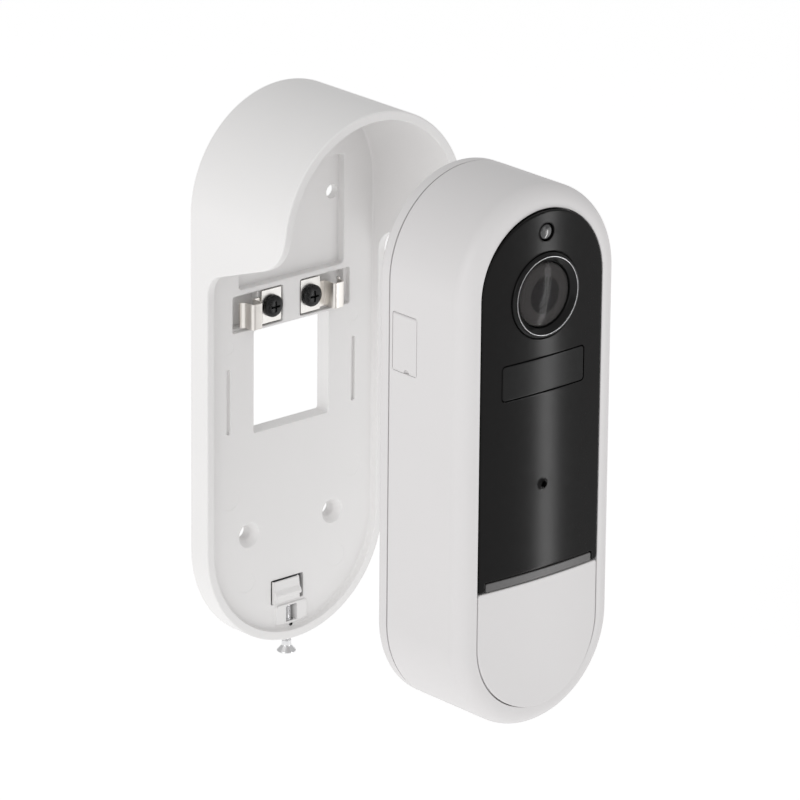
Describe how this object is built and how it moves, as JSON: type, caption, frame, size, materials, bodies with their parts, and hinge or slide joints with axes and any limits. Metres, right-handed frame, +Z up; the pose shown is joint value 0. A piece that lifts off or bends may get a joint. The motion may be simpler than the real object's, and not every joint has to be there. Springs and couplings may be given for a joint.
{
  "type": "video doorbell",
  "caption": "Stadium-shaped video doorbell: a camera unit with a call button that docks under the rain hood of a wall bracket with screw terminals.",
  "frame": {"origin": "on the bracket's back face, on its centre line, 2.7 mm above the line through the two lower fixing holes", "axes": "+Z up along the doorbell's length, +Y into the wall (the front faces -Y), +X to the right as seen from the front"},
  "size_m": [0.0586, 0.099, 0.1513],
  "materials": {
    "white_plastic": "fine satin moulded ASA, warm white",
    "black_gloss": "piano-black polished acrylic",
    "black_plastic": "matt black moulding",
    "nickel": "satin nickel-plated strip",
    "steel": "zinc-plated steel",
    "black_screw": "black oxide steel",
    "brass": "turned brass",
    "chrome": "bright ring",
    "dark_glass": "coated dark optical glass",
    "smoke_diffuser": "grey translucent diffuser",
    "silicone": "moulded silicone",
    "circuit_board": "green solder mask",
    "aluminium": "bare aluminium sheet",
    "battery_wrap": "blue shrink wrap",
    "polyimide": "amber polyimide film"
  },
  "bodies": {
    "bracket": {"bracket_shell": "white_plastic", "terminal_insert_left": "brass", "terminal_insert_right": "brass", "contact_strip_left": "nickel", "contact_strip_right": "nickel", "screw_guide": "black_plastic"},
    "latch": {"latch_tongue": "white_plastic"},
    "screw_carrier": {"captive_ring": "black_plastic"},
    "retaining_screw": {"retaining_screw": "steel"},
    "left_clamp": {"terminal_clamp_left": "nickel"},
    "left_terminal_screw": {"terminal_screw_left": "black_screw"},
    "right_clamp": {"terminal_clamp_right": "nickel"},
    "right_terminal_screw": {"terminal_screw_right": "black_screw"},
    "camera_unit": {"front_housing": "white_plastic", "rear_cover": "white_plastic", "housing_seal": "silicone", "cover_screw_1": "steel", "cover_screw_2": "steel", "cover_screw_3": "steel", "cover_screw_4": "steel", "front_panel": "black_gloss", "lens_ring": "chrome", "lens_cover_glass": "dark_glass", "lens_baffle": "black_plastic", "front_lens_element": "dark_glass", "lens_barrel": "black_plastic", "camera_holder": "black_plastic", "camera_board": "circuit_board", "light_sensor_window": "dark_glass", "light_sensor_board": "circuit_board", "pir_window": "black_plastic", "pir_sensor": "steel", "microphone_boot": "silicone", "microphone": "nickel", "light_bar": "smoke_diffuser", "light_bar_board": "circuit_board", "button_board": "circuit_board", "button_switch": "black_plastic", "speaker": "black_plastic", "speaker_gasket": "silicone", "main_board": "circuit_board", "shield_can": "nickel", "heat_spreader": "aluminium", "board_flex_cable": "polyimide", "battery_pack": "battery_wrap", "wifi_antenna": "polyimide", "rear_contact_left": "nickel", "rear_contact_right": "nickel", "charging_socket": "steel"},
    "call_button": {"call_button": "white_plastic"},
    "switch_plunger": {"switch_plunger": "black_plastic"},
    "side_flap": {"side_flap": "white_plastic"},
    "reset_button": {"reset_button": "black_plastic"}
  },
  "joints": [
    {"name": "unit_dock", "type": "slide", "parent": "bracket", "child": "camera_unit", "axis": [0, -1, 0], "range_m": [-0.0611, 0]},
    {"name": "call_press", "type": "slide", "parent": "camera_unit", "child": "call_button", "axis": [0, 1, 0], "range_m": [0, 0.0006], "stiffness_N_per_m": 1500, "springref_m": -0.0006},
    {"name": "switch_press", "type": "slide", "parent": "camera_unit", "child": "switch_plunger", "axis": [0, 1, 0], "range_m": [0, 0.0006]},
    {"name": "flap_hinge", "type": "hinge", "parent": "camera_unit", "child": "side_flap", "pos_m": [-0.0243, -0.0752, 0.07605], "axis": [0, 1, 0], "range_deg": [0, 105]},
    {"name": "reset_press", "type": "slide", "parent": "camera_unit", "child": "reset_button", "axis": [1, 0, 0], "range_m": [0, 0.0004], "stiffness_N_per_m": 800, "springref_m": -0.0004},
    {"name": "latch_flex", "type": "hinge", "parent": "bracket", "child": "latch", "pos_m": [0, -0.0048, -0.0177], "axis": [-1, 0, 0], "range_deg": [-6, 0], "stiffness_Nm_per_rad": 0.28},
    {"name": "screw_travel", "type": "slide", "parent": "bracket", "child": "screw_carrier", "axis": [0, 0, 1], "range_m": [0, 0.0045]},
    {"name": "screw_turn", "type": "hinge", "parent": "screw_carrier", "child": "retaining_screw", "pos_m": [0, -0.0028, -0.038], "axis": [0, 0, 1], "range_deg": [0, 3600]},
    {"name": "left_clamp_travel", "type": "slide", "parent": "bracket", "child": "left_clamp", "axis": [0, -1, 0], "range_m": [0, 0.001]},
    {"name": "left_terminal_turn", "type": "hinge", "parent": "left_clamp", "child": "left_terminal_screw", "pos_m": [-0.0064, -0.0043, 0.0568], "axis": [0, -1, 0], "range_deg": [0, 720]},
    {"name": "right_clamp_travel", "type": "slide", "parent": "bracket", "child": "right_clamp", "axis": [0, -1, 0], "range_m": [0, 0.001]},
    {"name": "right_terminal_turn", "type": "hinge", "parent": "right_clamp", "child": "right_terminal_screw", "pos_m": [0.0064, -0.0043, 0.0568], "axis": [0, -1, 0], "range_deg": [0, 720]}
  ],
  "couplings": [
    {"joint": "switch_press", "follows": "call_press", "ratio": 1},
    {"joint": "screw_turn", "follows": "screw_travel", "rad_per_m": 13963},
    {"joint": "left_terminal_turn", "follows": "left_clamp_travel", "rad_per_m": 12566},
    {"joint": "right_terminal_turn", "follows": "right_clamp_travel", "rad_per_m": 12566}
  ]
}
